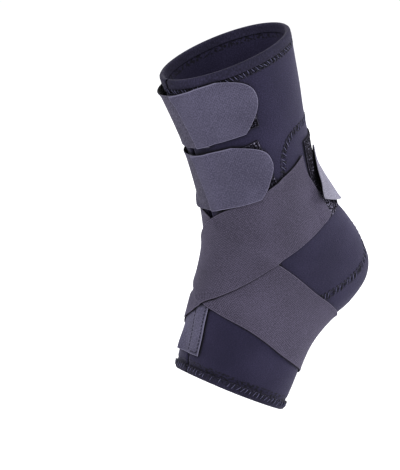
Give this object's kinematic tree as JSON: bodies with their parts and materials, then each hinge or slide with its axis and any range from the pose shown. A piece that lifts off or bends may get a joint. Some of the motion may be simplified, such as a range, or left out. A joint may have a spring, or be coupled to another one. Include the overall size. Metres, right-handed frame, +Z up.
{
  "type": "ankle brace",
  "caption": "Worn-form neoprene ankle brace for a left foot, open at leg, toes and front, with shin straps and a crossing elastic band.",
  "frame": {"origin": "the ankle joint's centre, in the middle of the hollow at the height where the leg turns into the foot", "axes": "+Z up the leg, -X towards the toes, -Y towards the foot's outer side; the foot points downwards"},
  "size_m": [0.1629, 0.0845, 0.2701],
  "materials": {
    "neoprene": "foam rubber faced with a fine matt knit, dark navy",
    "binding": "folded stretch binding with a slight sheen",
    "loop_pile": "short matt loop pile, speckled",
    "elastic": "finely ribbed wide elastic, purplish grey",
    "webbing": "plain woven strap",
    "grip": "brushed face of a hook strap, blue grey, fine speckle",
    "light_grip": "brushed face of a hook tab, light grey"
  },
  "bodies": {
    "root": {"sleeve_front_panel": "neoprene", "sleeve_achilles_panel": "neoprene", "sleeve_heel_cup": "neoprene", "leg_rim_binding": "binding", "foot_rim_binding": "binding", "loop_patch_upper": "loop_pile", "loop_patch_lower": "loop_pile", "loop_patch_back": "loop_pile", "instep_tape": "webbing", "band_under": "elastic", "band_over": "elastic", "band_grip": "light_grip", "strap_webbing_upper": "webbing", "strap_grip_upper": "grip", "strap_webbing_lower": "webbing", "strap_grip_lower": "grip"}
  },
  "joints": []
}
